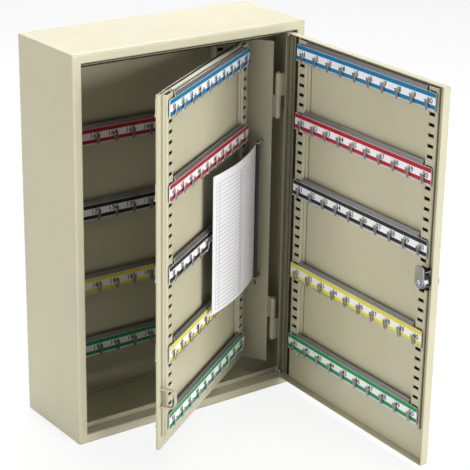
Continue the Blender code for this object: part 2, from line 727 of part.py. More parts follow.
def lock_works(axis):
    """The parts of the cam lock that turn: plug, cam and the screw that holds the cam."""
    head_y = DOOR_FRONT_Y - CLEAR - LOCK_HEAD
    end_y = CAM_Y - RUNNING_CLEAR
    cam_back = CAM_Y + CAM_SHEET
    bm = bmesh.new()
    outline = ((0, head_y), (LOCK_PLUG_RADIUS, head_y), (LOCK_PLUG_RADIUS, end_y), (0, end_y))
    spin(bm, outline, on_lock)
    plug = add_object("lock_plug", bm, chrome(), axis)
    stub = bmesh.new()
    half = LOCK_STUB / 2
    low = (LOCK_X - half, end_y - OVERRUN, LOCK_Z - half)
    box(stub, low, (LOCK_X + half, cam_back, LOCK_Z + half))
    cut(plug, add_object("lock_stub", stub, chrome(), axis), "UNION")
    keyway = bmesh.new()
    low = (LOCK_X - KEYWAY_WIDTH / 2, head_y - OVERRUN, LOCK_Z - KEYWAY_HEIGHT / 2)
    high = (LOCK_X + KEYWAY_WIDTH / 2, head_y + KEYWAY_DEPTH, LOCK_Z + KEYWAY_HEIGHT / 2)
    box(keyway, low, high)
    cut(plug, add_object("lock_keyway", keyway, chrome(), axis))

    half = CAM_WIDTH / 2
    tip = LOCK_Z + CAM_LENGTH
    outline = arc_points((LOCK_X, LOCK_Z), half, 180, 360, 8)
    outline += [(LOCK_X + half, tip - half / 3), (LOCK_X + half * 2 / 3, tip)]
    outline += [(LOCK_X - half * 2 / 3, tip), (LOCK_X - half, tip - half / 3)]
    plate = bmesh.new()
    extrude_outline(plate, outline, facing_front, CAM_Y, cam_back)
    cam = add_object("lock_cam", plate, chrome(), axis)
    square = bmesh.new()
    half = LOCK_STUB / 2 + CLEAR
    low = (LOCK_X - half, CAM_Y - OVERRUN, LOCK_Z - half)
    box(square, low, (LOCK_X + half, cam_back + OVERRUN, LOCK_Z + half))
    cut(cam, add_object("cam_square", square, chrome(), axis))

    seat = cam_back + CLEAR
    dome = bmesh.new()
    outline = (
        (0, seat),
        (CAM_SCREW_RADIUS, seat),
        (CAM_SCREW_RADIUS, seat + CAM_SCREW * 0.3),
        (CAM_SCREW_RADIUS * 0.8, seat + CAM_SCREW * 0.8),
        (0, seat + CAM_SCREW),
    )
    spin(dome, outline, on_lock)
    add_object("cam_screw", dome, chrome(), axis)


# Swing leaf


def leaf_point(across, forward):
    """A place on the closed leaf in plan: across from the arm, forward from the panel's face."""
    return (LEAF_AXIS.x - across, LEAF_FACE_Y - forward)


def leaf_panel(axis):
    """One folded sheet: the arm, the panel and the return fold on its free edge."""
    middle = -SHEET / 2
    edge = LEAF_WIDTH - SHEET / 2
    corners = (
        leaf_point(0, LEAF_ARM - KNUCKLE_RADIUS - LEAF_ARM_GAP),
        leaf_point(0, middle),
        leaf_point(edge, middle),
        leaf_point(edge, middle - LEAF_RETURN_DEPTH),
        leaf_point(edge - LEAF_RETURN, middle - LEAF_RETURN_DEPTH),
    )
    bm = bmesh.new()
    outline = strip_outline(rounded_path(corners, LEAF_BEND), SHEET)
    extrude_outline(bm, outline, standing, LEAF_BOTTOM_Z, LEAF_TOP_Z)
    add_object("leaf_panel", bm, paint(), axis)


def leaf_bars(axis):
    """Five bars on each face of the leaf."""
    top = LEAF_FIRST_SLOT
    rear_y = LEAF_FACE_Y + SHEET
    bar_set("leaf_front", LEAF_BARS_X, LEAF_FACE_Y, -1, top, LEAF_ROWS, axis)
    bar_set("leaf_rear", LEAF_BARS_X, rear_y, 1, top, LEAF_ROWS, axis)


def frame_knuckle():
    """The fixed knuckle in plan: a barrel whose wing lies in front of the frame's lip."""
    x, y = LEAF_AXIS.xy
    back = LIP_Y - CLEAR
    front = back - HINGE_WING
    end = OPENING_X - CLEAR
    start = math.degrees(math.asin((back - y) / KNUCKLE_RADIUS))
    outline = arc_points((x, y), KNUCKLE_RADIUS, start, 270, 10)
    return outline + [(x + HINGE_WING, front), (end, front), (end, back)]


def leaf_knuckle():
    """The moving knuckle in plan: a barrel whose wing lies on the hidden face of the arm."""
    x, y = LEAF_AXIS.xy
    near = SHEET / 2 + CLEAR
    far = near + HINGE_WING
    start = math.degrees(math.acos(near / KNUCKLE_RADIUS))
    end = 360 + math.degrees(math.acos(far / KNUCKLE_RADIUS))
    outline = arc_points((x, y), KNUCKLE_RADIUS, start, end, 10)
    return outline + [(x + far, y + HINGE_WING_LENGTH), (x + near, y + HINGE_WING_LENGTH)]


def leaf_hinges(axis):
    """Two barrel hinges. The pin is fixed in the frame's knuckle, and the leaf's turns on it."""
    x, y = LEAF_AXIS.xy
    bore_radius = HINGE_PIN_RADIUS + RUNNING_CLEAR
    for sign, end, z in ((1, "top", HINGE_TOP_Z), (-1, "bottom", HINGE_BOTTOM_Z)):
        outer = z + sign * KNUCKLE_HEIGHT
        inner = z - sign * KNUCKLE_HEIGHT
        bm = bmesh.new()
        extrude_outline(bm, frame_knuckle(), standing, z + sign * CLEAR / 2, outer)
        fixed = add_object(f"leaf_hinge_{end}_frame", bm, paint())
        pin = bmesh.new()
        tip = sign * HINGE_PIN_TIP
        cylinder(pin, HINGE_PIN_RADIUS, (x, y, inner - tip), (x, y, outer + tip))
        cut(fixed, add_object(f"hinge_pin_{end}", pin, paint()), "UNION")
        bm = bmesh.new()
        extrude_outline(bm, leaf_knuckle(), standing, inner, z - sign * CLEAR / 2)
        moving = add_object(f"leaf_hinge_{end}_leaf", bm, paint(), axis)
        bore = bmesh.new()
        past = sign * OVERRUN
        cylinder(bore, bore_radius, (x, y, inner - past), (x, y, z + past))
        cut(moving, add_object(f"hinge_bore_{end}", bore, paint(), axis))


def pull_handle(axis):
    """A strap bent into a U stands on the leaf between its free edge and the upright."""
    centre = LEAF_AXIS.x - LEAF_WIDTH + HANDLE_FROM_FREE_EDGE
    crown = HANDLE_REACH - HANDLE_SHEET / 2
    top = HANDLE_TOP_Z - HANDLE_SHEET / 2
    bottom = HANDLE_TOP_Z - HANDLE_HEIGHT + HANDLE_SHEET / 2
    corners = ((CLEAR, top), (crown, top), (crown, bottom), (CLEAR, bottom))
    outline = strip_outline(rounded_path(corners, HANDLE_BEND, 4), HANDLE_SHEET)

    def on_panel(forward, z, x):
        return (x, LEAF_FACE_Y - forward, z)

    bm = bmesh.new()
    half = HANDLE_WIDTH / 2
    extrude_outline(bm, outline, on_panel, centre - half, centre + half)
    add_object("pull_handle", bm, paint(), axis)


# Index chart


def index_lugs(axis):
    """Two lugs on the arm carry the index rod."""
    x, y = INDEX_AXIS.xy
    hole_radius = INDEX_ROD_RADIUS + RUNNING_CLEAR
    eye = hole_radius + LUG_WALL
    root = ARM_FACE_X - CLEAR
    for end, z in (("top", LUG_TOP_Z), ("bottom", LUG_BOTTOM_Z)):
        outline = arc_points((x, y), eye, 90, 270, 6)
        outline += [(root, y - LUG_HALF_WIDTH), (root, y + LUG_HALF_WIDTH)]
        bm = bmesh.new()
        extrude_outline(bm, outline, standing, z - LUG_SHEET / 2, z + LUG_SHEET / 2)
        lug = add_object(f"index_bracket_{end}", bm, paint(), axis)
        hole = bmesh.new()
        deep = LUG_SHEET / 2 + OVERRUN
        cylinder(hole, hole_radius, (x, y, z - deep), (x, y, z + deep))
        cut(lug, add_object(f"lug_hole_{end}", hole, paint(), axis))


def index_rod(axis):
    """The rod that the chart turns on."""
    x, y = INDEX_AXIS.xy
    bm = bmesh.new()
    cylinder(bm, INDEX_ROD_RADIUS, (x, y, INDEX_ROD_BOTTOM_Z), (x, y, INDEX_ROD_TOP_Z))
    dark = material("dark_rod", (0.03, 0.03, 0.035), 0.4)
    add_object("index_spine", bm, dark, axis)


def index_sheet(axis):
    """A card rolled round the rod. It bows gently and leans towards the leaf's hooks."""
    x, y = INDEX_AXIS.xy
    roll = INDEX_ROD_RADIUS + CLEAR + INDEX_SHEET / 2
    path = [Vector(p) for p in arc_points((x, y), roll, -60, -270, 6)]
    spans = 8
    for step in range(1, spans + 1):
        share = step / spans
        bow = INDEX_BULGE * math.sin(math.pi * share) - INDEX_LEAN * share
        path.append(Vector((x - INDEX_WIDTH * share, y + roll - bow)))
    bm = bmesh.new()
    outline = strip_outline(path, INDEX_SHEET)
    extrude_outline(bm, outline, standing, INDEX_BOTTOM_Z, INDEX_TOP_Z)
    card = material("index_card", (0.85, 0.85, 0.86), 0.6)
    add_object("index_sheet", bm, card, axis)


def main():
    clear_scene()
    cabinet_shell()
    back_panel()
    bar_set("back", 0, -SHEET, -1, BACK_FIRST_SLOT, BACK_ROWS)
    pivot_pins()
    door_axis = add_axis("door_axis", DOOR_AXIS, DOOR_OPEN_DEG)
    door(door_axis)
    lock_case(door_axis)
    lock_works(add_axis("lock_axis", LOCK_AXIS, 0, door_axis))
    leaf_axis = add_axis("leaf_axis", LEAF_AXIS, LEAF_OPEN_DEG)
    leaf_panel(leaf_axis)
    leaf_bars(leaf_axis)
    leaf_hinges(leaf_axis)
    pull_handle(leaf_axis)
    index_lugs(leaf_axis)
    index_axis = add_axis("index_axis", INDEX_AXIS, 0, leaf_axis)
    index_rod(index_axis)
    index_sheet(index_axis)


main()
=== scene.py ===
"""Looks of the wall key cabinet: finishes, printed hook bars, trim, fixings, light and camera."""

import json
import math

import bmesh
import bpy
from mathutils import Matrix, Vector

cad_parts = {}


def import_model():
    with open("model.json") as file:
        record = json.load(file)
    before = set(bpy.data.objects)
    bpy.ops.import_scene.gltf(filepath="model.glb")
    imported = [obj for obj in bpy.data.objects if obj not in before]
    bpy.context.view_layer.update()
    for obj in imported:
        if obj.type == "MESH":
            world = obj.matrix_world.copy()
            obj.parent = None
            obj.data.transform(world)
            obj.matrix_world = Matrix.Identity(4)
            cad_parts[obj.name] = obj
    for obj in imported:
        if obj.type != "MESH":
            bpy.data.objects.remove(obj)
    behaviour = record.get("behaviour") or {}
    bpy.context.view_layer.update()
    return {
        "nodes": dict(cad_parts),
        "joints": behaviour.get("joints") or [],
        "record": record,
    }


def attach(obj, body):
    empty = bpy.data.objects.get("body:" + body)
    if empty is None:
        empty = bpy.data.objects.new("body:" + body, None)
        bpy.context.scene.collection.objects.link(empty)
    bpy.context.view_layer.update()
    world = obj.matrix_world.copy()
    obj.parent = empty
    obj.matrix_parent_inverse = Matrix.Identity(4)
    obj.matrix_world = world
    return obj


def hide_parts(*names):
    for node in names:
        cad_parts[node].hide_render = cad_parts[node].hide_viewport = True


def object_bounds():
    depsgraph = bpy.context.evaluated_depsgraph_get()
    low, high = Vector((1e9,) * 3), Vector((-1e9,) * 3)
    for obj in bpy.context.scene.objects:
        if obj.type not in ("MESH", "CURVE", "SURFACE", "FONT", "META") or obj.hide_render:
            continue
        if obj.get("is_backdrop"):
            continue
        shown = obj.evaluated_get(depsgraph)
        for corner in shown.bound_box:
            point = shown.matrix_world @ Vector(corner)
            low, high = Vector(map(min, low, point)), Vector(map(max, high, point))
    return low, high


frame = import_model()
NODES = frame["nodes"]

# Lengths are in metres and angles in degrees, unless a name says otherwise

# Axis of each turning body, and how far it rests from its joint's lower limit (door and leaf closed)
AXES = {joint["child"]: Vector(joint["pos_m"]) for joint in frame["joints"]}
OPEN_DEG = {joint["child"]: -joint["range_deg"][0] for joint in frame["joints"]}
OPEN_DEG["cabinet"] = 0

# Hook bars: the face for the label, measured from the bar's top and the tips of its hooks
TIP_TO_FACE = 0.0070
TOP_TO_LABEL = 0.0065

# Hooks along a bar. Further than LIP_OFF from its face they are drawn finer than in the solid
HOOKS_PER_BAR = 10
HOOK_PITCH = 0.0292
HOOK_WIDTH = 0.007
HOOK_NARROWING = 0.60
HOOK_SHORTENING = 0.72
LIP_OFF = 0.0010
ROUNDING = 0.00005
HOOKS = [HOOK_PITCH * (i - (HOOKS_PER_BAR - 1) / 2) for i in range(HOOKS_PER_BAR)]

# Printed labels, with a grey painted highlight along their top edge. The white band and the highlight
# are shares of the label's height
LABEL_HEIGHT = 0.0205
LABEL_INSET = 0.0006
LABEL_RISE = 0.0009
LABEL_OFF = 0.00005
LABEL_THICKNESS = 0.00012
LABEL_WHITE = (0.80, 0.80, 0.82)
LABEL_EDGE_HIGHLIGHT = (0.55, 0.57, 0.58)
BAND_LOW = 0.245
BAND_HIGH = 0.70
HIGHLIGHT_LOW = 0.965
INKS = {
    "blue": (0.0, 0.165, 0.360),
    "red": (0.420, 0.008, 0.022),
    "black": (0.018, 0.018, 0.020),
    "yellow": (0.720, 0.620, 0.055),
    "green": (0.010, 0.250, 0.075),
}

# Numbers, and the painted shade of the slits beside the hooks
NUMBER_SIZE = 0.0102
NUMBER_WEIGHT = 0.0002
NUMBER_DROP = 0.0136
INK_THICKNESS = 0.00003
SLIT_SHADE_WIDTH = 0.0009
SLIT_SHADE_TOP = -0.0085
SLIT_SHADE_INSET = 0.0003

# Sets of bars: first number, step of numbers to the side of their hooks, body, facing back when closed
SETS = {
    "door": (1, 0.0035, "door", True),
    "leaf_front": (51, -0.0020, "leaf", False),
    "leaf_rear": (101, 0.0, "leaf", True),
    "back": (151, -0.0045, "cabinet", False),
}

# Index chart, and its printed table: places across and down are shares of the chart, or rows
INDEX_WIDTH = 0.162
INDEX_TOP = 0.095
INDEX_HEIGHT = 0.200
CHART_ROWS = 34
FIRST_ROW = 2
LAST_ROW = 33.2
ROW_RULE = 0.16
CHART_MARGIN = 0.05
CHART_BINDING = 0.018
COLUMN_LINES = (0.052, 0.469, 0.511, 0.895, 0.948)
COLUMN_LINE_HALF = 0.0045
GUTTER = 0.49
GUTTER_HALF = 0.022
GUTTER_INK = 0.4
CHART_INK = 0.75

# Sheets of painted shade behind the slotted uprights
SHADE_SHEET_HALF_WIDTH = 0.008
SHADE_SHEET_INSET = 0.001
SHADE_SHEET_OFF = 0.0002
SHADE_SHEET_THICKNESS = 0.0002

# Thin strips, all but the hem in painted shade: the corner where each begins, with the door and the leaf
# closed, and its sizes
STRIP_HEIGHT = 0.0004
RIB_HEIGHT = 0.0016
RIB_WIDTH = 0.0022
DOOR_STRIP = Vector((0.1690, -0.1382, -0.2570))
DOOR_STRIP_WIDTH = 0.0195
DOOR_STRIP_LENGTH = 0.5140
DOOR_STRIP_RIBS = (0.0024, 0.0122, 0.0180)
DARK_STRIP_WIDTH = 0.0044
FLANK_STRIP = Vector((-0.1570, -0.1368, 0))
FLANK_STRIP_WIDTH = 0.0036
FLANK_STRIP_ENDS = {"high": (0.2539, 0.0185), "low": (-0.0155, -0.2125)}
LIP_STRIP = Vector((0.1510, -0.1201, 0.2516))
LIP_STRIP_LENGTH = 0.3200
LIP_BEAD_RISE = 0.0022
LIP_BEAD_WIDTH = 0.0013
HEM = Vector((0.1185, -0.0705, 0.2388))
HEM_LENGTH = 0.2450
HEM_HEIGHT = 0.0036
HEM_DEPTH = 0.0040

# Rivets and pin ends of the leaf's hinges. A hinge is placed by the height of its middle
HINGE_HEIGHTS = {"top": 0.1655, "bottom": -0.175}
HINGE_HALF = 0.034
ARM_FACE_X = 0.1589
RIVET_OFF_AXIS = 0.0125
RIVET_DROPS = (0.009, 0.024)
RIVET_RADIUS = 0.0022
RIVET_HEIGHT = 0.0004
PIN_RADIUS = 0.0019
PIN_HEIGHT = 0.0007

# Caps in the four wall holes
HOLE_X = 0.1545
HOLE_Z = 0.2135
CAP_FACE_Y = -0.0013
CAP_RADIUS = 0.0052
CAP_HEIGHT = 0.0010

# A domed disc: sides, and its outline as (share of the radius, share of the height)
DISC_SIDES = 24
DOME = ((1.0, 0.0), (1.0, 0.45), (0.86, 0.8), (0.55, 1.0))

# Stage and light
FLOOR_SIZE = 12
FLOOR_GAP = 0.0005
FLOOR_GLOW = 0.85
SURROUNDINGS = 0.02
LAMP_TARGET = Vector((0, -0.15, 0))

# Camera, fitted to points of the cabinet in the photograph
PHOTO_SIZE = 470
CAMERA_PLACE = Vector((-1.2041, -1.8859, 0.7921))
CAMERA_AZIMUTH = -36.156
CAMERA_ELEVATION = 20.562
CAMERA_ROLL = 0.969
FOCAL_PIXELS = 1644.2
SENSOR_MM = 36.0
VIEW_DEPTH = 50

# Node trees: the middle span of a noise's values, and the sockets of a colour mix
NOISE_SPAN = (0.3, 0.7)
MIX_FACTOR, MIX_FIRST, MIX_SECOND = 0, 6, 7
MIX_RESULT = 2


# Materials


class Nodes:
    """A short way to write a material's node tree."""

    def __init__(self, name):
        self.material = bpy.data.materials.new(name)
        self.material.use_nodes = True
        self.tree = self.material.node_tree
        self.shader = self.tree.nodes["Principled BSDF"]

    def add(self, kind, **settings):
        node = self.tree.nodes.new(kind)
        for key, value in settings.items():
            setattr(node, key, value)
        return node

    def link(self, source, target):
        self.tree.links.new(source, target)

    def coordinates(self, output="Object", scale=(1, 1, 1), turn=0.0):
        place = self.add("ShaderNodeTexCoord")
        mapping = self.add("ShaderNodeMapping")
        mapping.inputs["Scale"].default_value = scale
        mapping.inputs["Rotation"].default_value = (0, 0, turn)
        self.link(place.outputs[output], mapping.inputs["Vector"])
        return mapping.outputs["Vector"]

    def normal(self):
        return self.add("ShaderNodeNewGeometry").outputs["Normal"]

    def split(self, vector):
        node = self.add("ShaderNodeSeparateXYZ")
        self.link(vector, node.inputs["Vector"])
        return node.outputs["X"], node.outputs["Y"], node.outputs["Z"]

    def noise(self, vector, scale, detail=2.0, roughness=0.5):
        node = self.add("ShaderNodeTexNoise")
        node.inputs["Scale"].default_value = scale
        node.inputs["Detail"].default_value = detail
        node.inputs["Roughness"].default_value = roughness
        self.link(vector, node.inputs["Vector"])
        return node.outputs["Fac"]

    def ramp(self, value, stops, interpolation="LINEAR"):
        node = self.add("ShaderNodeValToRGB")
        node.color_ramp.interpolation = interpolation
        elements = node.color_ramp.elements
        while len(elements) < len(stops):
            elements.new(0.5)
        for element, (position, colour) in zip(elements, stops):
            element.position = position
            element.color = (*colour, 1)
        self.link(value, node.inputs["Fac"])
        return node.outputs["Color"]

    def two_tone(self, value, first, second, span=NOISE_SPAN):
        """A colour that goes from the first to the second over a span of the value."""
        return self.ramp(value, tuple(zip(span, (first, second))))

    def range(self, value, low, high, span=(0.0, 1.0)):
        """The value, stretched from its span to low and high."""
        node = self.add("ShaderNodeMapRange")
        node.inputs["From Min"].default_value = span[0]
        node.inputs["From Max"].default_value = span[1]
        node.inputs["To Min"].default_value = low
        node.inputs["To Max"].default_value = high
        self.link(value, node.inputs["Value"])
        return node.outputs["Result"]

    def mix(self, factor, first, second, blend="MIX"):
        node = self.add("ShaderNodeMix", data_type="RGBA", blend_type=blend)
        for value, socket in ((factor, MIX_FACTOR), (first, MIX_FIRST), (second, MIX_SECOND)):
            if isinstance(value, (int, float)):
                node.inputs[socket].default_value = value
            elif isinstance(value, tuple):
                node.inputs[socket].default_value = (*value, 1)
            else:
                self.link(value, node.inputs[socket])
        return node.outputs[MIX_RESULT]

    def darken(self, colour, level):
        return self.mix(1.0, colour, level, "MULTIPLY")

    def math(self, operation, *values):
        node = self.add("ShaderNodeMath", operation=operation)
        for index, value in enumerate(values):
            if isinstance(value, (int, float)):
                node.inputs[index].default_value = value
            else:
                self.link(value, node.inputs[index])
        return node.outputs["Value"]

    def times(self, product, *factors):
        for factor in factors:
            product = self.math("MULTIPLY", product, factor)
        return product

    def edges(self, radius):
        """Rounded normals, and a mask that is 1 on the sharp edges."""
        bevel = self.add("ShaderNodeBevel", samples=4)
        bevel.inputs["Radius"].default_value = radius
        dot = self.add("ShaderNodeVectorMath", operation="DOT_PRODUCT")
        self.link(bevel.outputs["Normal"], dot.inputs[0])
        self.link(self.normal(), dot.inputs[1])
        return bevel.outputs["Normal"], self.range(dot.outputs["Value"], 1.0, 0.0, span=(0.75, 0.98))

    def grime(self, distance, darkest, span):
        """Painted shade: a grey level that falls off in enclosed places."""
        shade = self.add("ShaderNodeAmbientOcclusion", samples=8)
        shade.inputs["Distance"].default_value = distance
        return self.range(shade.outputs["AO"], darkest, 1.0, span)

    def bump(self, height, strength, distance, normal=None):
        node = self.add("ShaderNodeBump")
        node.inputs["Strength"].default_value = strength
        node.inputs["Distance"].default_value = distance
        self.link(height, node.inputs["Height"])
        if normal:
            self.link(normal, node.inputs["Normal"])
        self.link(node.outputs["Normal"], self.shader.inputs["Normal"])

    def base(self, colour):
        self.link(colour, self.shader.inputs["Base Color"])

    def roughness(self, value):
        self.link(value, self.shader.inputs["Roughness"])

    def fixed(self, **values):
        for name, value in values.items():
            self.shader.inputs[name.replace("_", " ")].default_value = value


def cream_paint():
    """Stove enamel: orange peel, faint clouding, fine specks and a lighter line on the folds, with
    painted shade inside the cabinet and in corners, gaps and slots.
    """
    m = Nodes("cream_paint")
    place = m.coordinates()
    cloud = m.noise(place, scale=9.0, detail=3.0)
    tone = m.two_tone(cloud, (0.464, 0.439, 0.306), (0.494, 0.467, 0.329))
    specks = m.noise(place, scale=900.0, detail=1.0)
    speckled = m.two_tone(specks, (0.93, 0.93, 0.92), (1, 1, 1), span=(0.2, 0.34))
    rounded, edge = m.edges(radius=0.0007)
    patches = m.range(m.noise(place, scale=120.0, detail=3.0), 0.1, 0.5, span=(0.35, 0.65))
    painted = m.mix(m.times(edge, patches), m.darken(tone, speckled), (0.64, 0.61, 0.46))
    # Painted shade: darker all through the enclosed inside of the cabinet
    shaded_inside = m.darken(painted, m.grime(distance=0.12, darkest=0.55, span=(0.10, 0.55)))
    # Painted shade in corners, gaps and slots
    m.base(m.darken(shaded_inside, m.grime(distance=0.0018, darkest=0.5, span=(0.25, 0.85))))
    m.roughness(m.range(m.noise(place, scale=40.0, detail=4.0), 0.30, 0.44, NOISE_SPAN))
    m.bump(m.noise(place, scale=420.0), strength=0.10, distance=0.0004, normal=rounded)
    m.fixed(Specular_IOR_Level=0.45)
    return m.material


def satin_aluminium():
    """Rolled aluminium: fine lines along the bar, cloudy gloss, and a painted dark reflection on faces
    that lean.
    """
    m = Nodes("satin_aluminium")
    lines = m.noise(m.coordinates(scale=(6, 6, 1400)), scale=1.0, detail=3.0, roughness=0.7)
    bright = m.two_tone(lines, (0.58, 0.59, 0.60), (0.70, 0.71, 0.72))
    # Painted reflection: a dark tone for faces that lean up or down
    painted_dark = m.two_tone(lines, (0.20, 0.20, 0.21), (0.30, 0.30, 0.31))
    lean = m.math("ABSOLUTE", m.split(m.normal())[2])
    none, most, full = (0, 0, 0), (0.6, 0.6, 0.6), (1, 1, 1)
    # Painted reflection: faces that lean take the dark tone
    dark_reflection_mask = m.ramp(lean, ((0.05, none), (0.2, full), (0.75, full), (0.9, most)))
    rounded, edge = m.edges(radius=0.0003)
    m.base(m.mix(m.times(edge, 0.5), m.mix(dark_reflection_mask, bright, painted_dark), (0.72, 0.73, 0.75)))
    m.roughness(m.range(lines, 0.34, 0.52, NOISE_SPAN))
    m.bump(lines, strength=0.08, distance=0.0002, normal=rounded)
    m.fixed(Metallic=0.85)
    return m.material


def chrome():
    """Bright plate with the light scuffs of use."""
    m = Nodes("chrome")
    scuffs = m.noise(m.coordinates(scale=(300, 300, 1500)), scale=1.0, detail=4.0, roughness=0.7)
    cloud = m.noise(m.coordinates(), scale=60.0)
    rounded, _ = m.edges(radius=0.0003)
    m.base(m.two_tone(cloud, (0.33, 0.33, 0.39), (0.50, 0.50, 0.58)))
    m.roughness(m.range(scuffs, 0.12, 0.28, NOISE_SPAN))
    m.bump(scuffs, strength=0.03, distance=0.0001, normal=rounded)
    m.fixed(Metallic=1.0)
    return m.material


def zinc_steel():
    """Dull plated steel with a mottled grey bloom."""
    m = Nodes("zinc_steel")
    bloom = m.noise(m.coordinates(), scale=350.0, detail=4.0, roughness=0.6)
    m.base(m.two_tone(bloom, (0.22, 0.22, 0.23), (0.40, 0.40, 0.41)))
    m.roughness(m.range(bloom, 0.38, 0.55))
    m.bump(bloom, strength=0.05, distance=0.0001)
    m.fixed(Metallic=0.9)
    return m.material


def dark_rod():
    """Black lacquered rod with a little dust."""
    m = Nodes("dark_rod")
    mottle = m.noise(m.coordinates(), scale=260.0, detail=3.0)
    m.base(m.two_tone(mottle, (0.016, 0.016, 0.018), (0.06, 0.06, 0.06), span=(0.45, 0.8)))
    m.roughness(m.range(mottle, 0.34, 0.55))
    return m.material


def label_print(colour):
    """A printed label: ink above and below a white band, with slightly soft ink and paper grain, and a
    grey painted highlight along its top edge.
    """
    m = Nodes(f"label_{colour}")
    ink = INKS[colour]
    place = m.coordinates()
    height = m.split(m.coordinates("UV"))[1]
    soft = m.math("ADD", height, m.range(m.noise(place, scale=700.0), -0.004, 0.004))
    # The last stop is a painted highlight along the top edge
    stops = ((0.0, ink), (BAND_LOW, LABEL_WHITE), (BAND_HIGH, ink), (HIGHLIGHT_LOW, LABEL_EDGE_HIGHLIGHT))
    fibres = m.noise(place, scale=1500.0)
    grain = m.two_tone(fibres, (0.94, 0.94, 0.94), (1, 1, 1), span=(0.3, 0.6))
    m.base(m.darken(m.ramp(soft, stops, "CONSTANT"), grain))
    m.roughness(m.range(m.noise(place, scale=200.0), 0.40, 0.52))
    m.fixed(Specular_IOR_Level=0.25)
    return m.material


def number_ink():
    """Black printing ink, a little thin in places."""
    m = Nodes("number_ink")
    thin = m.noise(m.coordinates(), scale=1200.0)
    m.base(m.two_tone(thin, (0.018, 0.018, 0.022), (0.050, 0.050, 0.055), span=(0.35, 0.75)))
    m.roughness(m.range(thin, 0.4, 0.6))
    return m.material


def chart_shares(m):
    """How far a point lies across the index chart from its rod, and down from its top."""
    turn = -math.radians(OPEN_DEG["leaf"])
    x, _, z = m.split(m.coordinates(turn=turn))
    rod = Matrix.Rotation(turn, 3, "Z") @ AXES["index"]
    across = m.range(x, 0.0, 1.0, span=(rod.x, rod.x - INDEX_WIDTH))
    down = m.range(z, 0.0, 1.0, span=(INDEX_TOP, INDEX_TOP - INDEX_HEIGHT))
    return across, down


def chart_lines(m, across, down):
    """Ink of the ruled table: rows in two blocks, column lines, and a grey gutter between the blocks."""
    rule = m.math("LESS_THAN", m.math("FRACT", m.times(down, CHART_ROWS)), ROW_RULE)
    gutter = m.math("COMPARE", across, GUTTER, GUTTER_HALF)
    ink = m.times(rule, m.math("SUBTRACT", 1.0, gutter))
    for line in COLUMN_LINES:
        ink = m.math("MAXIMUM", ink, m.math("COMPARE", across, line, COLUMN_LINE_HALF))
    ink = m.math("MAXIMUM", ink, m.times(gutter, GUTTER_INK))
    for share, low, high in (
        (across, CHART_MARGIN, 1 - CHART_MARGIN),
        (down, FIRST_ROW / CHART_ROWS, LAST_ROW / CHART_ROWS),
    ):
        ink = m.times(ink, m.math("GREATER_THAN", share, low), m.math("LESS_THAN", share, high))
    return m.times(ink, CHART_INK)


def index_card():
    """White card with soft fibres, a ruled table and a black binding beside the rod."""
    m = Nodes("index_card")
    fibres = m.noise(m.coordinates(scale=(900, 900, 2600)), scale=1.0, detail=3.0)
    cloud = m.noise(m.coordinates(), scale=14.0)
    tone = m.two_tone(cloud, (0.72, 0.72, 0.76), (0.77, 0.77, 0.81))
    paper = m.mix(m.range(fibres, 0.0, 0.10), tone, (0.62, 0.62, 0.64))
    across, down = chart_shares(m)
    printed = m.mix(chart_lines(m, across, down), paper, (0.30, 0.31, 0.35))
    binding = m.math("LESS_THAN", across, CHART_BINDING)
    m.base(m.mix(binding, printed, (0.022, 0.022, 0.024)))
    m.roughness(m.range(fibres, 0.5, 0.7))
    m.bump(fibres, strength=0.05, distance=0.0002)
    return m.material


def dark_recess():
    """Painted shade: brown-black and dull, for the bottom of slots and gaps."""
    m = Nodes("dark_recess")
    place = m.coordinates()
    mottle = m.noise(place, scale=160.0, detail=4.0)
    m.base(m.two_tone(mottle, (0.012, 0.010, 0.007), (0.030, 0.027, 0.019)))
    m.roughness(m.range(m.noise(place, scale=90.0, detail=3.0), 0.75, 0.95))
    m.bump(m.noise(place, scale=500.0), strength=0.10, distance=0.0002)
    m.fixed(Specular_IOR_Level=0.1)
    return m.material


def dusty_paint():
    """Painted shade: the cream paint darkened to brown, with cream patches along its edges and deeper
    painted shade in its corners.
    """
    m = Nodes("dusty_paint")
    place = m.coordinates()
    mottle = m.noise(place, scale=90.0, detail=4.0)
    # Painted shade: a dark brown copy of the cream paint
    tone = m.two_tone(mottle, (0.185, 0.170, 0.108), (0.235, 0.215, 0.140))
    rounded, edge = m.edges(radius=0.0005)
    cream_edge_patches = m.times(edge, m.range(m.noise(place, scale=220.0), 0.35, 0.75))
    shade_with_cream_edges = m.mix(cream_edge_patches, tone, (0.46, 0.44, 0.31))
    # Deeper painted shade in corners and between ribs
    m.base(m.darken(shade_with_cream_edges, m.grime(distance=0.0030, darkest=0.25, span=(0.45, 0.95))))
    m.roughness(m.range(m.noise(place, scale=150.0, detail=3.0), 0.50, 0.70))
    m.bump(m.noise(place, scale=700.0), strength=0.10, distance=0.0003, normal=rounded)
    m.fixed(Specular_IOR_Level=0.3)
    return m.material


def dress_nodes():
    """Every solid in the finish of its slot, with the door's pins in plain plated steel."""
    finishes = {
        "cream_paint": cream_paint(),
        "satin_aluminium": satin_aluminium(),
        "chrome": chrome(),
        "dark_rod": dark_rod(),
        "index_card": index_card(),
        "zinc_steel": zinc_steel(),
    }
    for part in frame["record"]["subparts"]:
        node, finish = part["node"], part["material_slot"]
        if node.startswith("door_pivot"):
            finish = "zinc_steel"
        for slot in NODES[node].material_slots:
            slot.material = finishes[finish]
    return finishes


# Places and simple shapes


def rest_turn(body):
    """The turn of a body from closed to where it rests."""
    return Matrix.Rotation(math.radians(OPEN_DEG[body]), 3, "Z")


def at_rest(place, body):
    """A place on the closed door or leaf, turned to where it rests."""
    return rest_turn(body) @ (place - AXES[body]) + AXES[body]


def face_axes(body, backwards):
    """Directions along, up and out of a face that carries bars, at rest."""
    along = rest_turn(body) @ Vector((-1 if backwards else 1, 0, 0))
    up = Vector((0, 0, 1))
    return along, up, along.cross(up)


